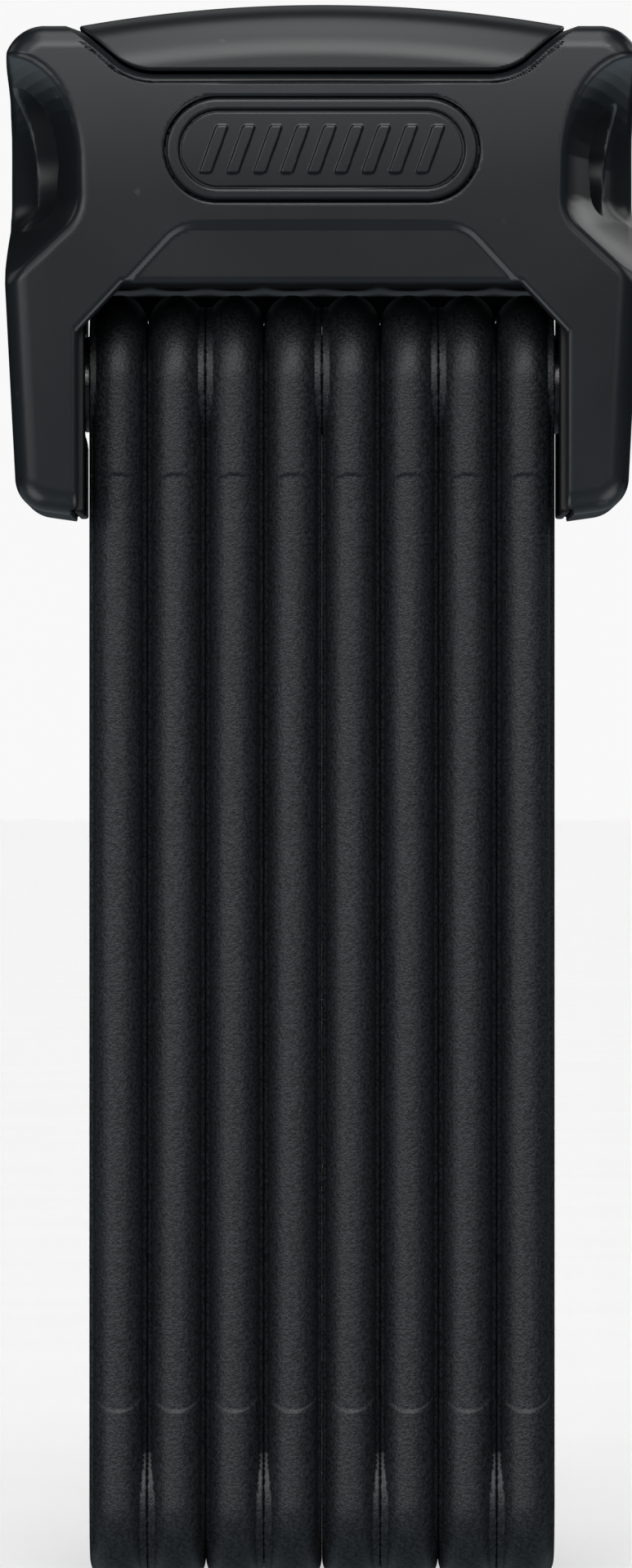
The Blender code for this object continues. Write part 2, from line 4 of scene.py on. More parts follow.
import bmesh
import bpy
import numpy as np
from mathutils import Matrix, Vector


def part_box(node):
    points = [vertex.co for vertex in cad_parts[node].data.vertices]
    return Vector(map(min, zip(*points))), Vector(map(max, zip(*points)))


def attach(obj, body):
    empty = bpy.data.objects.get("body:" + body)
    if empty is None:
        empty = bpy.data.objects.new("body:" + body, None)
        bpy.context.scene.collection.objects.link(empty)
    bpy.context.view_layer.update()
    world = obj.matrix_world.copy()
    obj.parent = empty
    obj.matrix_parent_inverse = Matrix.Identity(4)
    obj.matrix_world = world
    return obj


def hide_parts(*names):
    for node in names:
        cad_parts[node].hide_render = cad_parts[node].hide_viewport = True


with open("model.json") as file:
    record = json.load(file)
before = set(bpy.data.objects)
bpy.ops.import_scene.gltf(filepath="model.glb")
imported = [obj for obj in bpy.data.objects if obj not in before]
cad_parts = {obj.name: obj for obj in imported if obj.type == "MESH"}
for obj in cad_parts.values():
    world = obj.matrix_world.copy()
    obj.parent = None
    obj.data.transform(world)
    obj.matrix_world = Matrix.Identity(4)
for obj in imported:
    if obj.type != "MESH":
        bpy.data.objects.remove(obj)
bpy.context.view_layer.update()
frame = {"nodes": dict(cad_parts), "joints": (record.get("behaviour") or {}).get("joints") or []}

# Lengths below are in millimetres, like the part's drawing; MM turns them into the frame's metres.
MM = 0.001


def node_box(name):
    """Lowest and highest corner of a CAD node, in millimetres."""
    low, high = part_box(name)
    return [c / MM for c in low], [c / MM for c in high]


def joint_height(name):
    return next(j for j in frame["joints"] if j["name"] == name)["pos_m"][2] / MM


# ---------------------------------------------------------------- sizes, read from the frame

BODY_LOW, BODY_HIGH = node_box("housing")
COVER_HIGH = node_box("top_cover")[1]
BADGE_LOW, BADGE_HIGH = node_box("front_badge")
INLAY_LOW, INLAY_HIGH = node_box("badge_inlay")
LINER_LOW, LINER_HIGH = node_box("right_leg_liner")
SEAT_LOW, SEAT_HIGH = node_box("pivot_bracket")
DUST_LOW, DUST_HIGH = node_box("keyhole_cover")
BAR_HIGH = node_box("bar_8_jacket")[1]
BAR_COUNT = 8
HALF_WIDTH = BODY_HIGH[0]
HALF_DEPTH = BODY_HIGH[1]
LEG_BOTTOM = BODY_LOW[2]
CROWN_TOP = COVER_HIGH[2]
PIVOT_HIGH = joint_height("body_hinge")
PIVOT_LOW = joint_height("hinge_7_8")
CYLINDER_HEIGHT = joint_height("key_turn")
BAR_PITCH = BAR_HIGH[0] - node_box("bar_7_jacket")[1][0]
BAR_HALF_WIDTH = BAR_HIGH[1]
SLEEVE_HALF_THICK = BAR_PITCH / 2 - 0.006
SEAT_INNER = SEAT_LOW[0]
SEAT_OUTER = SEAT_HIGH[0]
SEAT_BOTTOM = SEAT_LOW[2] - 0.3
BADGE_HEIGHT = (BADGE_LOW[2] + BADGE_HIGH[2]) / 2
BADGE_HALF = (BADGE_HIGH[0], (BADGE_HIGH[2] - BADGE_LOW[2]) / 2)
INLAY_HALF = (INLAY_HIGH[0], (INLAY_HIGH[2] - INLAY_LOW[2]) / 2)

# ---------------------------------------------------------------- sizes that the frame doesn't hold

SHOULDER_TOP = 209.2
COVER_LINE = 202.75
COVER_SLOPE = 40.5
BAY_HALF_WIDTH = 32.4
BAY_TOP = 174.6
BLOCK_FLOOR = 177.4
SEAT_TOP = 173.5
WALL = 2.4
GAP = 0.3
EDGE_FILLET = 3.2
LIP_FRONT = 17.9
LIP_CLEARANCE = 0.3
KEYHOLE_RADIUS = 9.6
RECESS_RADIUS = 7.35
SCOOP_HEIGHT = 189.0
STUD_WAY_RADIUS = 5.3
LINER_WAY_RADIUS = 6.9
SLEEVE_FILLET = 3.75
NOSE_HALF_THICK = 3.25
NOSE_FILLET = 3.1
BOSS_RADIUS = 10.4
STEP_FROM_PIVOT = 17.2

# ---------------------------------------------------------------- light

# Name, azimuth and height in degrees, strength.
SOFTBOXES = (
    ("front", 0, 22, 0.22),
    ("front_low", 0, 36, 0.8),
    ("front_high", 0, 62, 0.42),
    ("overhead", 0, 86, 0.4),
    ("left_strip", -22, 12, 0.24),
    ("left_key", -44, 12, 0.44),
    ("right_strip", 26, 12, 0.15),
    ("right_high", 45, 40, 0.2),
    ("left_high", -45, 40, 0.15),
    ("right_side", 112, 28, 0.2),
    ("right_rear", 152, 18, 0.14),
    ("left_rear", -115, 25, 0.1),
    ("rear", 180, 40, 0.06),
)
SOFTBOX_SPREAD = 28
FLOOR_LIGHT = 1.42
FLOOR_IN_FRONT = 0.15
FLOOR_BEHIND = 0.3
LOW_CARD = 0.6


# ---------------------------------------------------------------- solids as distance fields

def round_max(a, b, radius):
    """Intersection of two solids whose common edge is rounded to a radius."""
    corner = np.sqrt(np.maximum(a + radius, 0) ** 2 + np.maximum(b + radius, 0) ** 2)
    return np.minimum(np.maximum(a, b), -radius) + corner


def cut(solid, hole, radius):
    """A solid with a hole whose rim is rounded to a radius."""
    return round_max(solid, -hole, radius)


def join(a, b, radius):
    """Union of two solids with a fillet between them."""
    return -round_max(-a, -b, radius)


def polygon(points, x, z):
    """Signed distance to a closed outline."""
    nearest = np.full(np.broadcast(x, z).shape, 1e9)
    inside = np.zeros(nearest.shape, bool)
    for (ax, az), (bx, bz) in zip(points, points[1:] + points[:1]):
        ex, ez = bx - ax, bz - az
        wx, wz = x - ax, z - az
        along = np.clip((wx * ex + wz * ez) / (ex * ex + ez * ez), 0, 1)
        nearest = np.minimum(nearest, (wx - ex * along) ** 2 + (wz - ez * along) ** 2)
        if az != bz:
            inside ^= ((az > z) != (bz > z)) & (x < ax + (z - az) * ex / ez)
    return np.where(inside, -np.sqrt(nearest), np.sqrt(nearest))


def block(x, y, z, low, high):
    """A sharp box between two corners; a corner may hold None for no limit."""
    distance = None
    for value, start, end in zip((x, y, z), low, high):
        sides = ([] if start is None else [start - value]) + ([] if end is None else [value - end])
        for side in sides:
            distance = side if distance is None else np.maximum(distance, side)
    return distance


def stadium(half_length, half_height, x, z):
    """Distance to a flat stadium round the origin."""
    return np.hypot(np.maximum(np.abs(x) - (half_length - half_height), 0), z) - half_height


def arc(centre, radius, start, end, steps):
    angles = [math.radians(start + (end - start) * i / steps) for i in range(steps + 1)]
    return [(centre[0] + radius * math.cos(a), centre[1] + radius * math.sin(a)) for a in angles]


def stretch(*stops):
    """Grid lines through (start, step) stops, up to the last stop's start."""
    lines = []
    for (start, step), (end, _) in zip(stops, stops[1:]):
        count = max(1, round((end - start) / step))
        lines += [start + (end - start) * i / count for i in range(count)]
    return np.array(lines + [stops[-1][0]])


def crossings(values, grid, axis):
    """Grid edges along one axis that cross the surface: their places, cells and directions."""
    first = np.take(values, range(values.shape[axis] - 1), axis)
    second = np.take(values, range(1, values.shape[axis]), axis)
    index = np.array(np.nonzero((first < 0) != (second < 0)))
    low, high = first[tuple(index)], second[tuple(index)]
    place = np.array([grid[k][index[k]] for k in range(3)])
    step = grid[axis][index[axis] + 1] - grid[axis][index[axis]]
    place[axis] += step * low / (low - high)
    return index, place, low < 0


def surface(field, grid):
    """Vertices and quads of the zero surface of a field, drawn on to the surface itself."""
    x, y, z = grid
    values = np.broadcast_to(
        field(x[:, None, None], y[None, :, None], z[None, None, :]), (len(x), len(y), len(z))
    )
    shape = np.array(values.shape) - 1
    cells, places, quads = [], [], []
    for axis in range(3):
        index, place, outward = crossings(values, grid, axis)
        u, v = (axis + 1) % 3, (axis + 2) % 3
        corners = []
        for du, dv in ((-1, -1), (0, -1), (0, 0), (-1, 0)):
            cell = index.copy()
            cell[u] += du
            cell[v] += dv
            corners.append(np.ravel_multi_index(cell, shape))
        loop = np.array(corners)
        loop[:, ~outward] = loop[::-1, ~outward]
        quads.append(loop.T)
        cells.append(loop.ravel())
        places.append(np.tile(place, 4))
    cells = np.concatenate(cells)
    places = np.concatenate(places, axis=1)
    used, where = np.unique(cells, return_inverse=True)
    count = np.bincount(where)
    verts = np.array([np.bincount(where, weights=p) / count for p in places])
    faces = np.searchsorted(used, np.concatenate(quads))
    for _ in range(4):
        value = field(*verts)
        slope = gradient(field, verts, 0.01)
        move = value / np.maximum((slope ** 2).sum(0), 0.25)
        verts = verts - slope * np.clip(move, -0.25, 0.25)
    return verts, faces


def gradient(field, verts, step):
    slope = []
    for axis in range(3):
        shift = np.zeros((3, 1))
        shift[axis] = step
        slope.append((field(*(verts + shift)) - field(*(verts - shift))) / (2 * step))
    return np.array(slope)


def field_mesh(name, field, grid, soft=0.06):
    """A mesh of a field's surface, shaded by the field's own slope."""
    verts, faces = surface(field, grid)
    normals = gradient(field, verts, soft)
    normals = normals / np.maximum(np.linalg.norm(normals, axis=0), 1e-9)
    mesh = bpy.data.meshes.new(name)
    mesh.from_pydata((verts.T * MM).tolist(), [], faces.tolist())
    mesh.update()
    mesh.shade_smooth()
    mesh.normals_split_custom_set_from_vertices(normals.T.tolist())
    return mesh


# ---------------------------------------------------------------- objects

def add(name, mesh, finish, body, replaced=()):
    """A finished piece: its material, its body and the CAD nodes that it stands for."""
    thing = bpy.data.objects.new(name, mesh)
    bpy.context.scene.collection.objects.link(thing)
    if finish.name not in [m.name for m in mesh.materials if m]:
        mesh.materials.append(finish)
    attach(thing, body)
    if replaced:
        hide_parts(*replaced)
    return thing


def lathe_mesh(name, profile, y, z, segments=64):
    """Turn an (x, radius) profile in millimetres about a line along X."""
    bm = bmesh.new()
    rings = []
    for x, radius in profile:
        turns = [2 * math.pi * i / segments for i in range(segments)] if radius else [0.0]
        ring = [(x, y + radius * math.sin(a), z + radius * math.cos(a)) for a in turns]
        rings.append([bm.verts.new(Vector(p) * MM) for p in ring])
    pairs = list(zip(rings, rings[1:]))
    if len(rings[0]) > 1:
        pairs.append((rings[-1], rings[0]))
    for first, second in pairs:
        for i in range(segments):
            j = (i + 1) % segments
            corners = [first[i % len(first)], first[j % len(first)]]
            corners += [second[j % len(second)], second[i % len(second)]]
            bm.faces.new(list(dict.fromkeys(corners)))
    bmesh.ops.recalc_face_normals(bm, faces=bm.faces)
    mesh = bpy.data.meshes.new(name)
    bm.to_mesh(mesh)
    bm.free()
    mesh.shade_smooth()
    mesh.set_sharp_from_angle(angle=math.radians(35))
    return mesh


def eased(profile, radius=0.25):
    """A lathe profile with each of its corners cut by a small chamfer."""
    made = [profile[0]]
    for before, here, after in zip(profile, profile[1:], profile[2:]):
        p, a, b = Vector(here), Vector(before), Vector(after)
        size = min(radius, (a - p).length * 0.4, (b - p).length * 0.4)
        made.append(tuple(p + (a - p).normalized() * size))
        made.append(tuple(p + (b - p).normalized() * size))
    made.append(profile[-1])
    return made


# ---------------------------------------------------------------- materials

class Nodes:
    """Short names for the shader nodes that the finishes share."""

    def __init__(self, name, colour, roughness, metallic=0.0):
        self.material = bpy.data.materials.new(name)
        self.material.use_nodes = True
        self.tree = self.material.node_tree
        self.shader = self.tree.nodes["Principled BSDF"]
        self.shader.inputs["Base Color"].default_value = (*colour, 1.0)
        self.shader.inputs["Roughness"].default_value = roughness
        self.shader.inputs["Metallic"].default_value = metallic
        self.place = self.tree.nodes.new("ShaderNodeTexCoord").outputs["Object"]

    def link(self, source, target):
        self.tree.links.new(source, target)

    def noise(self, scale_mm, detail=2.0, stretch_by=None):
        """Noise whose grains are about scale_mm across, drawn out along an axis if asked."""
        made = self.tree.nodes.new("ShaderNodeTexNoise")
        made.inputs["Scale"].default_value = 1.0 / (scale_mm * MM)
        made.inputs["Detail"].default_value = detail
        place = self.place
        if stretch_by:
            mapping = self.tree.nodes.new("ShaderNodeMapping")
            mapping.inputs["Scale"].default_value = stretch_by
            self.link(place, mapping.inputs["Vector"])
            place = mapping.outputs["Vector"]
        self.link(place, made.inputs["Vector"])
        return made.outputs["Fac"]

    def span(self, value, low, high, start=0.3, end=0.7):
        """Map a noise value between two numbers."""
        made = self.tree.nodes.new("ShaderNodeMapRange")
        made.inputs["From Min"].default_value = start
        made.inputs["From Max"].default_value = end
        made.inputs["To Min"].default_value = low
        made.inputs["To Max"].default_value = high
        self.link(value, made.inputs["Value"])
        return made.outputs["Result"]

    def mix(self, factor, first, second):
        """Mix two colours, each a colour or a socket, by a factor socket."""
        made = self.tree.nodes.new("ShaderNodeMix")
        made.data_type = "RGBA"
        for name, value in (("A", first), ("B", second)):
            socket = next(s for s in made.inputs if s.name == name and s.type == "RGBA")
            if isinstance(value, tuple):
                socket.default_value = (*value, 1.0)
            else:
                self.link(value, socket)
        self.link(factor, made.inputs["Factor"])
        return next(s for s in made.outputs if s.type == "RGBA")

    def edges(self, start, end):
        """How strongly a spot lies on a convex edge."""
        shape = self.tree.nodes.new("ShaderNodeNewGeometry")
        return self.span(shape.outputs["Pointiness"], 0.0, 1.0, start, end)

    def product(self, first, second):
        made = self.tree.nodes.new("ShaderNodeMath")
        made.operation = "MULTIPLY"
        self.link(first, made.inputs[0])
        self.link(second, made.inputs[1])
        return made.outputs["Value"]

    def bump(self, heights):
        """Bumps from (height socket, depth in millimetres) pairs, one on another."""
        normal = None
        for height, depth in heights:
            made = self.tree.nodes.new("ShaderNodeBump")
            made.inputs["Strength"].default_value = 1.0
            made.inputs["Distance"].default_value = depth * MM
            self.link(height, made.inputs["Height"])
            if normal:
                self.link(normal, made.inputs["Normal"])
            normal = made.outputs["Normal"]
        self.link(normal, self.shader.inputs["Normal"])

    def colour(self, socket):
        self.link(socket, self.shader.inputs["Base Color"])

    def roughness(self, socket):
        self.link(socket, self.shader.inputs["Roughness"])


def satin_plastic(name):
    """Moulded satin plastic: a very fine grain, faint flow clouds and edges rubbed a little smoother."""
    base = (0.0105, 0.0130, 0.0150)
    made = Nodes(name, base, 0.36)
    clouds = made.noise(22.0, 3.0)
    grain = made.noise(0.16, 1.0)
    wear = made.product(made.edges(0.54, 0.62), made.span(made.noise(3.0, 4.0), 0.2, 1.0, 0.4, 0.65))
    tint = made.mix(made.span(clouds, 0.0, 1.0), base, tuple(c * 1.25 for c in base))
    made.colour(made.mix(wear, tint, (0.045, 0.045, 0.048)))
    made.roughness(made.span(clouds, 0.28, 0.33))
    made.bump([(grain, 0.006)])
    made.shader.inputs["Specular IOR Level"].default_value = 0.5
    return made.material


def soft_touch(name):
    """The bars' jackets: matt, with a sandy grain that sparkles where it catches the light."""
    base = (0.0165, 0.0195, 0.0220)
    made = Nodes(name, base, 0.5)
    grain = made.noise(0.2, 2.0)
    pits = made.noise(0.4, 3.0)
    clouds = made.noise(14.0, 3.0)
    dark, light = tuple(c * 0.45 for c in base), tuple(c * 1.9 for c in base)
    speck = made.mix(made.span(pits, 0.0, 1.0, 0.38, 0.66), dark, light)
    rubbed = made.product(made.edges(0.54, 0.62), made.span(made.noise(2.0, 4.0), 0.0, 0.7, 0.45, 0.7))
    made.colour(made.mix(rubbed, speck, (0.05, 0.05, 0.052)))
    made.roughness(made.span(clouds, 0.36, 0.43))
    made.bump([(pits, 0.07), (grain, 0.04)])
    return made.material


def matt_plastic(name):
    base = (0.011, 0.011, 0.012)
    made = Nodes(name, base, 0.5)
    grain = made.noise(0.25, 2.0)
    made.colour(made.mix(made.span(made.noise(5.0, 3.0), 0.0, 1.0), base, tuple(c * 1.5 for c in base)))
    made.roughness(made.span(grain, 0.42, 0.58))
    made.bump([(grain, 0.012)])
    return made.material


def steel(name, brushed=(1.0, 1.0, 14.0), tone=0.30):
    """Plated steel: fine brushing, cloudy colour and a few darker spots of oil."""
    base = (tone, tone, tone * 1.03)
    made = Nodes(name, base, 0.3, 1.0)
    lines = made.noise(0.8, 3.0, brushed)
    clouds = made.noise(6.0, 3.0)
    dark, light = tuple(c * 0.7 for c in base), tuple(c * 1.15 for c in base)
    made.colour(made.mix(made.span(clouds, 0.0, 1.0), dark, light))
    made.roughness(made.span(lines, 0.22, 0.42))
    made.bump([(lines, 0.006)])
    return made.material


def brass(name):
    base = (0.56, 0.40, 0.17)
    made = Nodes(name, base, 0.32, 1.0)
    lines = made.noise(0.5, 3.0, (6.0, 1.0, 1.0))
    clouds = made.noise(3.0, 3.0)
    made.colour(made.mix(made.span(clouds, 0.0, 1.0), tuple(c * 0.75 for c in base), base))
    made.roughness(made.span(lines, 0.25, 0.42))
    made.bump([(lines, 0.005)])
    return made.material


# ---------------------------------------------------------------- lock body

def cover_line(lift):
    """Right half of the line between housing and cover: level, a bend, then a slope to the shoulder."""
    bend = arc((22.2, COVER_LINE + lift + 8.0), 8.0, -90, -90 + COVER_SLOPE, 10)
    rise = CROWN_TOP + 4.0 - bend[-1][1]
    return bend + [(bend[-1][0] + rise / math.tan(math.radians(COVER_SLOPE)), CROWN_TOP + 4.0)]


def saddle(x, z, lift):
    """Distance above the line between housing and cover: negative in the space over it."""
    line = cover_line(lift)
    return polygon(line + [(-a, b) for a, b in reversed(line)], x, z)


def mirrored_outline(points):
    return points + [(-x, z) for x, z in reversed(points)]


def silhouette(x, z):
    """The housing's front view without the bay: a rounded block with legs that taper inwards."""
    half = [(BAY_HALF_WIDTH, LEG_BOTTOM)]
    half += arc((36.3, LEG_BOTTOM + 5.2), 4.6, -85, -6, 10)
    half += [(42.35, 177.0), (HALF_WIDTH, 190.0)]
    half += arc((36.9, SHOULDER_TOP - 5.5), 5.5, 0, 85, 12)
    return polygon(mirrored_outline(half), x, z)


def crown(x, z):
    """How far the front and back faces fall away from their middle."""
    above = 0.75 * (np.maximum(z - 186.0, 0) / 18.0) ** 2
    below = 0.8 * (np.maximum(186.0 - z, 0) / 40.0) ** 2
    return above + below + 0.3 * (x / HALF_WIDTH) ** 2


def scoop(x, y, z):
    """The hollow round each keyhole: a bowl that leans out towards the back, open to the side."""
    behind = np.maximum(y + HALF_DEPTH, -1.0)
    lean = 0.165 * behind + 1.7 * (1 - np.exp(-behind / 5.0))
    rise = z - SCOOP_HEIGHT
    flat_z = SCOOP_HEIGHT + rise / np.where(rise > 0, 1 - 0.004 * behind, 1 - 0.011 * behind)
    half = [(60.0, 205.4), (HALF_WIDTH, 205.3)]
    for step in range(1, 12):
        turn = math.radians(90 - 90 * step / 12)
        height = SCOOP_HEIGHT + 16.2 * math.sin(turn) ** 0.85
        half.append((HALF_WIDTH - 10.3 * math.cos(turn) ** 0.85, height))
    half += arc((38.1, 186.4), 6.0, 180, 226, 8)
    half += [(60.0, 157.2)]
    profile = polygon(half, np.abs(x) - lean, flat_z)
    rear = (y - 13.5 - 0.9 * (np.abs(x) - 39.2)) / 1.35
    return round_max(profile, rear, 2.5)


def bay(x, y, z):
    """The space between the legs, with a web across each front corner and a scalloped lip at the back."""
    width = np.abs(x) - BAY_HALF_WIDTH
    web = (np.abs(x) - (BAY_HALF_WIDTH - 5.9) + (z - BAY_TOP) * 0.94) / 1.37
    ceiling = np.maximum(z - BAY_TOP, -rear_lip(x, y, z))
    return np.maximum(np.maximum(width, ceiling), np.minimum(web, -HALF_DEPTH + 3.4 - y))


def rear_lip(x, y, z):
    """A lip that follows the round tops of the bars, just clear of their path as they swing out."""
    off_middle = np.abs(x - BAR_PITCH * (np.floor(x / BAR_PITCH) + 0.5))
    flat = SLEEVE_HALF_THICK - SLEEVE_FILLET
    bulge = SLEEVE_FILLET + LIP_CLEARANCE
    reach = PIVOT_HIGH + BAR_HALF_WIDTH - PIVOT_LOW - SLEEVE_FILLET
    reach = reach + np.sqrt(bulge ** 2 - np.clip(off_middle - flat, 0, bulge) ** 2)
    return np.maximum(LIP_FRONT - y, reach - np.hypot(y, z - PIVOT_LOW))


def facet(x, z):
    """Outline of the shallow facet over the bay, with round upper corners."""
    half = [(32.9, 168.1)] + arc((16.4, 176.6), 6.4, 43, 90, 8)
    return polygon(mirrored_outline([(31.0, 166.0)] + half), x, z)


def ease(value):
    """A smooth step from 0 to 1."""
    value = np.clip(value, 0, 1)
    return value * value * (3 - 2 * value)


def stud_way(x, y, z, radius, outer):
    """The path of the closing stud out of the left leg: a round seat that opens towards the back."""
    fall = np.clip(y, 0, 30) ** 2 / (2 * (PIVOT_HIGH - PIVOT_LOW))
    height = z - PIVOT_HIGH
    level = np.where(height > 0, height, np.minimum(height + fall, 0))
    channel = np.hypot(np.minimum(y, 0), level) - radius
    return np.maximum(channel, np.maximum(-outer - x, x + 30.0))


def housing_field(x, y, z):
    depth = HALF_DEPTH - crown(x, z)
    step = 0.5 * ease(-facet(x, z) / 1.1)
    slab = np.maximum(y - depth, -y - depth + step)
    solid = round_max(silhouette(x, z), slab, EDGE_FILLET)
    solid = cut(solid, scoop(x, y, z), 1.0)
    solid = cut(solid, bay(x, y, z), 0.9)
    line = -saddle(x, z, -0.2)
    solid = np.maximum(np.maximum(solid, line), (solid + line + 0.8) * 0.7071)
    bead = np.maximum(np.abs(line + 1.15) - 0.11, -slab - 0.22)
    solid = cut(solid, bead, 0.05)
    badge = stadium(BADGE_HALF[0] + GAP, BADGE_HALF[1] + GAP, x, z - BADGE_HEIGHT)
    solid = cut(solid, np.maximum(badge, y + depth - 1.2), 0.3)
    inside = HALF_DEPTH - WALL
    bore = np.hypot(y, z - CYLINDER_HEIGHT)
    solid = cut(solid, np.maximum(bore - KEYHOLE_RADIUS, x + 28.0), 0.35)
    solid = cut(solid, np.maximum(bore - RECESS_RADIUS, 33.0 - x), 0.35)
    beside, seat_way = np.abs(x), SEAT_BOTTOM + 1.0
    leg_inner, leg_outer = BAY_HALF_WIDTH - 2.0, SEAT_OUTER + GAP
    hollows = [
        block(x, y, z, (-29.0, -inside, BLOCK_FLOOR), (29.0, inside, None)),
        block(x, y, z, (-36.9, -5.7, 172.5), (-28.0, 5.7, 184.0)),
        block(beside, y, z, (leg_inner, -inside, SEAT_BOTTOM), (leg_outer, inside, SEAT_TOP)),
        block(beside, y, z, (leg_inner, -inside, LEG_BOTTOM - 4.0), (SEAT_INNER, inside, seat_way)),
    ]
    for hollow in hollows:
        solid = np.maximum(solid, -hollow)
    return cut(solid, stud_way(x, y, z, STUD_WAY_RADIUS, 39.0), 0.4)


def add_housing(finish):
    grid = (
        stretch((-42.9, 0.38), (42.9, 0)),
        stretch((-20.5, 0.3), (-17.2, 0.6), (16.5, 0.4), (20.5, 0)),
        stretch((143.2, 0.4), (201.0, 0.16), (209.8, 0)),
    )
    mesh = field_mesh("housing_shell", housing_field, grid)
    add("housing_shell", mesh, finish, "lock_body", ["housing"])


def cover_field(x, y, z):
    """The crowned cover: its front and back roll over into the top in one soft curve."""
    half_chord, rise = 32.9, 2.95
    radius = (half_chord ** 2 + rise ** 2) / (2 * rise)
    top = np.hypot(x, z - (CROWN_TOP - radius)) - radius
    slab = np.abs(y) - (HALF_DEPTH - crown(x, z))
    solid = round_max(top, slab, 7.5)
    return round_max(solid, saddle(x, z, 0.2), 0.45)


def add_cover(finish):
    grid = (
        stretch((-34.0, 0.38), (34.0, 0)),
        stretch((-20.5, 0.35), (-11.0, 0.8), (11.0, 0.35), (20.5, 0)),
        stretch((202.3, 0.22), (212.6, 0)),
    )
    mesh = field_mesh("cover_shell", cover_field, grid)
    add("cover_shell", mesh, finish, "lock_body", ["top_cover"])


def badge_field(x, y, z):
    """The badge's frame: a rounded ring round a shallow pocket."""
    face = y + HALF_DEPTH - crown(x, z)
    height = z - BADGE_HEIGHT
    solid = round_max(stadium(*BADGE_HALF, x, height), np.abs(face - 0.5) - 0.45, 0.4)
    pocket = np.maximum(stadium(INLAY_HALF[0] + GAP, INLAY_HALF[1] + GAP, x, height), face - 0.6)
    return cut(solid, pocket, 0.3)


def plate_field(x, y, z):
    """The badge's plate, which carries a row of plain slanted ribs."""
    face = y + HALF_DEPTH - crown(x, z)
    height = z - BADGE_HEIGHT
    pitch, rib, count = 3.6, 1.9, 9
    along = x - 0.36 * height
    nearest = np.abs((along + pitch / 2) % pitch - pitch / 2) - rib / 2
    ribs = round_max(np.maximum(nearest, np.abs(along) - pitch * count / 2), np.abs(height) - 3.3, 0.5)
    raised = 0.24 * ease(-ribs / 0.28)
    thick = np.abs(face - 0.42 + raised / 2) - 0.13 - raised / 2
    return round_max(stadium(*INLAY_HALF, x, height), thick, 0.12)


def add_badge(finish):
    depth_lines = stretch((-20.1, 0.11), (-18.0, 0))
    height_lines = stretch((BADGE_HEIGHT - 7.2, 0.2), (BADGE_HEIGHT + 7.2, 0))
    frame_grid = (stretch((-21.3, 0.25), (21.3, 0)), depth_lines, height_lines)
    mesh = field_mesh("badge_frame", badge_field, frame_grid)
    add("badge_frame", mesh, finish, "lock_body", ["front_badge"])
    plate_grid = (stretch((-19.2, 0.16), (19.2, 0)), depth_lines, height_lines)
    mesh = field_mesh("badge_plate", plate_field, plate_grid)
    add("badge_plate", mesh, finish, "lock_body", ["badge_inlay"])


def liner_field(side):
    """The plate that lines a leg: the left one has the stud's way in it, the right one the pin's hole."""
    def field(x, y, z):
        plate = block(side * x, y, z, (*LINER_LOW[:2], None), (*LINER_HIGH[:2], None))
        solid = round_max(plate, np.abs(z - (LINER_LOW[2] + LINER_HIGH[2]) / 2)
                          - (LINER_HIGH[2] - LINER_LOW[2]) / 2, 0.35)
        if side < 0:
            return cut(solid, stud_way(x, y, z, LINER_WAY_RADIUS, 45.0), 0.25)
        return cut(solid, np.hypot(y, z - PIVOT_HIGH) - 7.1, 0.25)
    return field


def add_liners(finish):
    for side, name in ((-1, "left"), (1, "right")):
        across = sorted((side * (LINER_LOW[0] - 0.3), side * (LINER_HIGH[0] + 0.3)))
        grid = (
            stretch((across[0], 0.2), (across[1], 0)),
            stretch((LINER_LOW[1] - 0.5, 0.5), (LINER_HIGH[1] + 0.5, 0)),
            stretch((LINER_LOW[2] - 0.5, 0.5), (LINER_HIGH[2] + 0.5, 0)),
        )
        mesh = field_mesh(f"{name}_lining", liner_field(side), grid)
        add(f"{name}_lining", mesh, finish, "lock_body", [f"{name}_leg_liner"])


# ---------------------------------------------------------------- bars

def jacket_field(x, y, z):
    """A bar's jacket: narrower round edges, ends a little proud, and a boss and window at each joint."""
    over = np.maximum(z - PIVOT_HIGH, 0) + np.minimum(z - PIVOT_LOW, 0)
    to_high = np.hypot(y, z - PIVOT_HIGH)
    to_low = np.hypot(y, z - PIVOT_LOW)
    proud = 0.18
    less = proud * (1 - ease((STEP_FROM_PIVOT + 0.15 - np.minimum(to_high, to_low)) / 0.3))
    edge = np.hypot(y, over) - BAR_HALF_WIDTH
    at_end = ease((np.abs(over) - 2.5) / 4.5)
    fillet = 0.7 + (SLEEVE_FILLET - 0.7) * at_end
    body = round_max(np.abs(x) - SLEEVE_HALF_THICK, edge + 0.3 + 3.7 * (1 - at_end), fillet)
    nose = round_max(np.abs(x) - NOSE_HALF_THICK, edge + less, NOSE_FILLET)
    solid = join(body, nose, 0.3)
    for side, away in ((1, to_high), (-1, to_low)):
        boss = round_max(away - BOSS_RADIUS, np.abs(side * x - 1.93) - 1.94, 0.1)
        solid = np.minimum(solid, boss)
    for side, away in ((1, to_high), (-1, to_low)):
        solid = cut(solid, away - 5.8, 0.3)
        solid = cut(solid, np.maximum(away - 7.0, 2.3 - side * x), 0.3)
    return solid


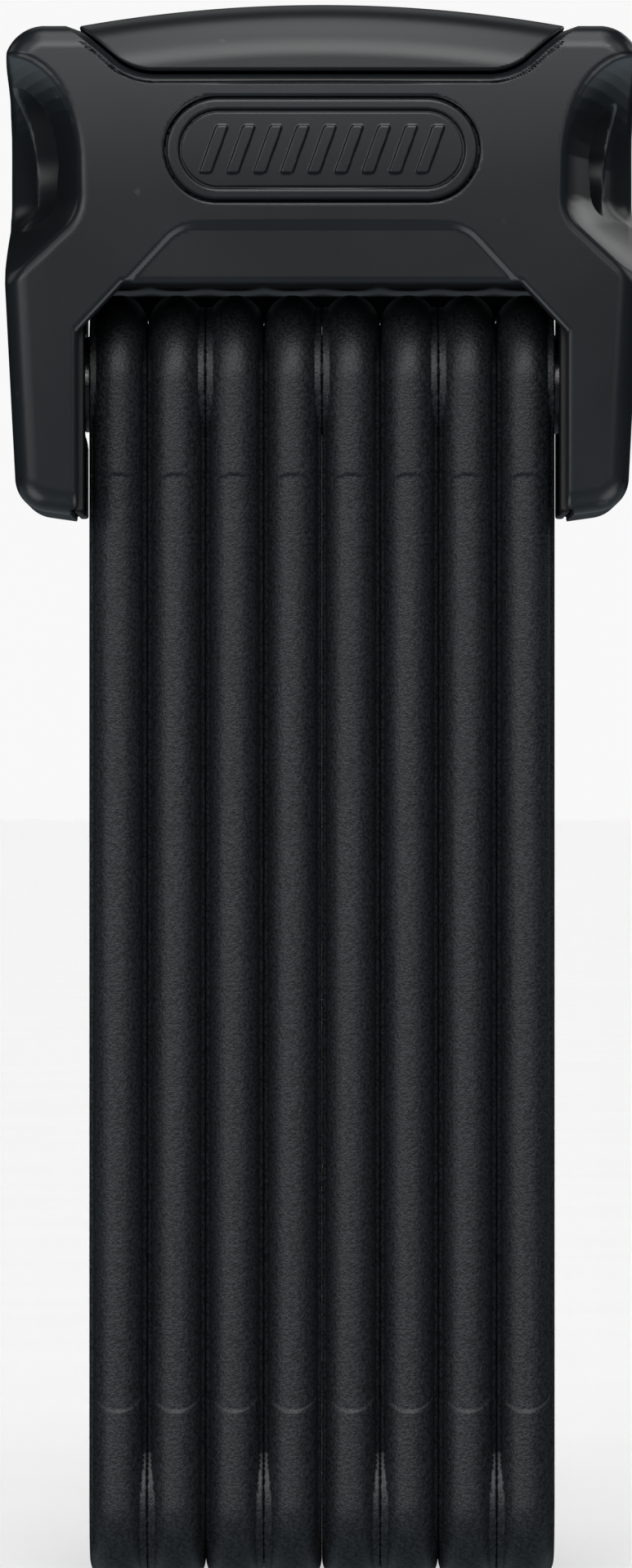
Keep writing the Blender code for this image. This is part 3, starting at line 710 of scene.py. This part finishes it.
def add_jackets(finish):
    """One mesh for all bars: odd bars are the same bar turned half round."""
    end = BAR_HALF_WIDTH
    grid = (
        stretch((-SLEEVE_HALF_THICK - 0.15, 0.3), (SLEEVE_HALF_THICK + 0.15, 0)),
        stretch((-end - 0.15, 0.42), (-7.6, 0.6), (7.6, 0.42), (end + 0.15, 0)),
        stretch((-0.15, 0.4), (10.0, 0.6), (23.2, 0.15), (26.2, 0.5), (30.0, 4.0), (144.0, 0.5),
                (147.8, 0.15), (150.8, 0.6), (164.0, 0.4), (174.15, 0)),
    )
    mesh = field_mesh("jacket", jacket_field, grid)
    for number in range(1, BAR_COUNT + 1):
        name = f"bar_{number}_sleeve"
        thing = bpy.data.objects.new(name, mesh)
        bpy.context.scene.collection.objects.link(thing)
        if not mesh.materials:
            mesh.materials.append(finish)
        thing.location.x = (number - (BAR_COUNT + 1) / 2) * BAR_PITCH * MM
        thing.rotation_euler.z = math.pi if number % 2 else 0.0
        bpy.context.view_layer.update()
        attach(thing, f"bar_{number}")
        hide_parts(f"bar_{number}_jacket")


def rivet_profile(middle, reach):
    """A rivet with domed heads, each with a small set mark in its middle."""
    head = [(0.3, 0.0), (0.3, 0.9), (0.0, 1.4), (0.02, 2.6), (0.15, 3.9)]
    head += [(0.42, 4.9), (0.7, 5.35), (1.0, 5.42), (1.0, 3.45)]
    right = [(middle + reach - down, radius) for down, radius in head]
    return right + [(middle - reach + down, radius) for down, radius in reversed(head)]


def add_rivets(metal):
    for number in range(1, BAR_COUNT):
        pair, carrier = f"{number}_{number + 1}", f"bar_{number + 1}"
        low, high = node_box(f"rivet_{pair}")
        middle, reach = (low[0] + high[0]) / 2, (high[0] - low[0]) / 2
        height = PIVOT_LOW if number % 2 else PIVOT_HIGH
        mesh = lathe_mesh(f"rivet_{number}", rivet_profile(middle, reach), 0.0, height)
        add(f"pair_rivet_{number}", mesh, metal, carrier, [f"rivet_{pair}"])
        low, high = node_box(f"washer_{pair}")
        start, end, outer = low[0], high[0], (high[2] - low[2]) / 2
        ring = eased([(start, 3.85), (start, outer), (end, outer), (end, 3.85), (start, 3.85)], 0.2)
        mesh = lathe_mesh(f"spacer_{number}", ring[1:-1] + [(start, 4.0)], 0.0, height)
        add(f"pair_spacer_{number}", mesh, metal, carrier, [f"washer_{pair}"])


def add_stud_and_pivot(metal):
    """The stud on bar 1 that the bolt holds, and the pin that bar 8 hangs on."""
    stud = [(-23.6, 0.0), (-23.6, 4.7), (-24.0, 5.45), (-24.6, 5.45), (-24.6, 3.45), (-30.0, 3.45)]
    stud += [(-30.0, 6.45), (-32.0, 6.45), (-32.0, 4.45), (-34.5, 4.45), (-34.5, 2.95), (-36.9, 2.95)]
    stud += [(-36.9, 4.45), (-38.0, 4.45), (-38.45, 3.7), (-38.45, 0.0)]
    mesh = lathe_mesh("stud", eased(stud, 0.25), 0.0, PIVOT_HIGH)
    add("lock_stud", mesh, metal, "bar_1", ["closing_stud"])
    pin = [(23.65, 0.0), (23.65, 4.6), (24.0, 5.4), (24.6, 5.4), (24.6, 3.45), (37.2, 3.45)]
    pin += [(37.2, 5.4), (38.6, 5.4), (38.95, 4.9), (38.95, 0.0)]
    mesh = lathe_mesh("pin", eased(pin, 0.25), 0.0, PIVOT_HIGH)
    add("hinge_pin", mesh, metal, "lock_body", ["body_pivot_pin"])
    low, high = node_box("body_pivot_washer")
    start, end = low[0], high[0]
    ring = [(start, 4.1), (start, 6.4), (start + 0.25, 6.65), (end - 0.25, 6.65), (end, 6.4), (end, 4.1)]
    mesh = lathe_mesh("pin_spacer", ring + [(end, 3.9), (start, 3.9)], 0.0, PIVOT_HIGH)
    add("hinge_spacer", mesh, metal, "lock_body", ["body_pivot_washer"])


# ---------------------------------------------------------------- lock work

def dust_field(x, y, z):
    """The turning disc in the keyhole: a dished face with a chamfered slot across it."""
    from_axis = np.hypot(y, z - CYLINDER_HEIGHT)
    dish = 0.35 * np.clip(1 - (from_axis / 7.5) ** 2, 0, 1)
    thick = np.maximum(DUST_LOW[0] + dish - x, x - DUST_HIGH[0])
    solid = round_max(from_axis - (DUST_HIGH[1] - 0.05), thick, 0.25)
    slot = round_max(np.abs(y) - 4.6, np.abs(z - CYLINDER_HEIGHT) - 1.6, 0.8)
    return cut(solid, slot, 0.3)


def add_keyhole(metal, plastic):
    grid = (
        stretch((DUST_LOW[0] - 0.2, 0.13), (DUST_HIGH[0] + 0.2, 0)),
        stretch((-9.6, 0.3), (9.6, 0)),
        stretch((CYLINDER_HEIGHT - 9.6, 0.3), (CYLINDER_HEIGHT + 9.6, 0)),
    )
    # The disc takes the near-black steel from build(), whose dark tone is painted shade for the hollow it
    # sits in.
    add("dust_disc", field_mesh("dust_disc", dust_field, grid), metal, "dust_cover",
        ["keyhole_cover"])
    low, high = node_box("side_plug")
    start, end = low[0], high[0]
    cap = [(start, 0.0), (start, 6.9), (end - 0.35, 6.95), (end - 0.1, 6.7), (end, 6.2)]
    cap += [(end, 5.4), (end - 0.3, 4.9), (end - 0.5, 3.0), (end - 0.5, 0.0)]
    mesh = lathe_mesh("blind_cap", cap, 0.0, CYLINDER_HEIGHT)
    add("blind_cap", mesh, plastic, "lock_body", ["side_plug"])


def finish_carried_nodes(finishes):
    """The inner pieces keep their shape and get the finish of their material."""
    for finish, names in finishes.items():
        for name in names:
            thing = frame["nodes"][name]
            thing.data.materials.clear()
            thing.data.materials.append(finish)


# ---------------------------------------------------------------- stage, lights and camera

def add_floor():
    """A large pale sheet under the lock. It throws no light back: the world's lower half does that."""
    mesh = bpy.data.meshes.new("floor")
    reach = 30.0
    corners = [(-reach, -reach, 0), (reach, -reach, 0), (reach, reach, 0), (-reach, reach, 0)]
    mesh.from_pydata(corners, [], [(0, 1, 2, 3)])
    floor = bpy.data.objects.new("floor", mesh)
    bpy.context.scene.collection.objects.link(floor)
    floor.visible_diffuse = False
    floor.visible_glossy = False
    floor.visible_shadow = False
    paper = Nodes("pale_paper", (0.9, 0.9, 0.9), 0.9)
    patches = paper.span(paper.noise(60.0), 0.0, 1.0)
    paper.colour(paper.mix(patches, (0.885, 0.885, 0.885), (0.9, 0.9, 0.9)))
    mesh.materials.append(paper.material)
    return floor


def add_sun(name, azimuth, elevation, spread, strength):
    """A soft light from an azimuth (0 in front, positive to the right) and a height, in degrees."""
    light = bpy.data.lights.new(name, "SUN")
    light.angle = math.radians(spread)
    light.energy = strength
    lamp = bpy.data.objects.new(name, light)
    bpy.context.scene.collection.objects.link(lamp)
    turn, rise = math.radians(azimuth), math.radians(elevation)
    level = math.cos(rise)
    direction = Vector((math.sin(turn) * level, -math.cos(turn) * level, math.sin(rise)))
    lamp.rotation_euler = direction.to_track_quat("Z", "Y").to_euler()
    return lamp


def add_lights(floor):
    """Softboxes all round, a card under the lock body, and a light that only whitens the floor."""
    for name, azimuth, elevation, strength in SOFTBOXES:
        add_sun(name, azimuth, elevation, SOFTBOX_SPREAD, strength)
    whitener = add_sun("floor_whitener", 0, 90, 10, FLOOR_LIGHT)
    whitener.data.use_shadow = False
    light_only(whitener, floor)
    for side, name in ((-1, "left"), (1, "right")):
        card = add_sun(f"{name}_low_card", side * 55, -42, 40, LOW_CARD)
        light_only(card, bpy.data.objects["housing_shell"])


def light_only(lamp, thing):
    """Keep a light to one object."""
    only = bpy.data.collections.new(f"{lamp.name}_reach")
    only.objects.link(thing)
    lamp.light_linking.receiver_collection = only


def add_camera():
    """A long lens square to the front of the lock, with the bars' lower ends just cut off."""
    data = bpy.data.cameras.new("camera")
    camera = bpy.data.objects.new("camera", data)
    bpy.context.scene.collection.objects.link(camera)
    distance, seen_height = 1.4, 0.2094
    camera.location = (-0.0008, -distance, 0.1082)
    camera.rotation_euler = (math.radians(90), 0, 0)
    data.sensor_width = 36.0
    data.lens = data.sensor_width * (distance - BAR_HALF_WIDTH * MM) / seen_height
    data.clip_start, data.clip_end = 0.05, 100.0
    bpy.context.scene.camera = camera


def add_world():
    """A dark studio with a pale floor, brightest behind the lock, and a pale backdrop for the camera."""
    world = bpy.data.worlds.new("studio")
    world.use_nodes = True
    tree = world.node_tree
    tree.nodes.clear()
    place = tree.nodes.new("ShaderNodeTexCoord")
    parts = tree.nodes.new("ShaderNodeSeparateXYZ")
    tree.links.new(place.outputs["Generated"], parts.inputs["Vector"])
    total = tree.nodes.new("ShaderNodeMath")
    total.operation = "MULTIPLY"
    ramps = (("Z", -0.2, -0.35, 0.0, 1.0), ("Y", 0.0, 0.4, FLOOR_IN_FRONT, FLOOR_BEHIND))
    for slot, (axis, start, end, low, high) in enumerate(ramps):
        ramp = tree.nodes.new("ShaderNodeMapRange")
        ramp.inputs["From Min"].default_value, ramp.inputs["From Max"].default_value = start, end
        ramp.inputs["To Min"].default_value, ramp.inputs["To Max"].default_value = low, high
        tree.links.new(parts.outputs[axis], ramp.inputs["Value"])
        tree.links.new(ramp.outputs["Result"], total.inputs[slot])
    light = tree.nodes.new("ShaderNodeBackground")
    light.inputs["Color"].default_value = (0.85, 1.0, 1.1, 1.0)
    tree.links.new(total.outputs["Value"], light.inputs["Strength"])
    backdrop = tree.nodes.new("ShaderNodeBackground")
    backdrop.inputs["Color"].default_value = (0.94, 0.94, 0.94, 1.0)
    path = tree.nodes.new("ShaderNodeLightPath")
    mix = tree.nodes.new("ShaderNodeMixShader")
    tree.links.new(path.outputs["Is Camera Ray"], mix.inputs["Fac"])
    tree.links.new(light.outputs["Background"], mix.inputs[1])
    tree.links.new(backdrop.outputs["Background"], mix.inputs[2])
    out = tree.nodes.new("ShaderNodeOutputWorld")
    tree.links.new(mix.outputs["Shader"], out.inputs["Surface"])
    bpy.context.scene.world = world


def build():
    black = satin_plastic("satin_black")
    jacket = soft_touch("jacket_grain")
    liner = matt_plastic("liner_matt")
    metal = steel("brushed_steel")
    # Steel toned down to near black for the keyhole's turning disc: painted shade for the deep shade that
    # falls in the keyhole's hollow.
    shade_darkened = steel("shade_darkened_steel", tone=0.06)
    yellow = brass("machined_brass")
    add_housing(black)
    add_cover(black)
    add_badge(black)
    add_liners(liner)
    add_jackets(jacket)
    add_rivets(metal)
    add_stud_and_pivot(metal)
    add_keyhole(shade_darkened, black)
    finish_carried_nodes({
        metal: [f"bar_{number}_core" for number in range(1, BAR_COUNT + 1)]
        + [f"case_screw_{number}" for number in range(1, 5)]
        + ["stud_seat", "pivot_bracket", "case_front", "case_rear"]
        + ["spring_post", "bolt_spring", "locking_bolt"],
        yellow: ["cylinder_housing", "cylinder_plug", "cylinder_driver"]
        + [f"code_disc_{number}" for number in range(1, 6)],
    })
    add_lights(add_floor())
    add_camera()
    add_world()
    bpy.context.scene.view_settings.view_transform = "Standard"


build()
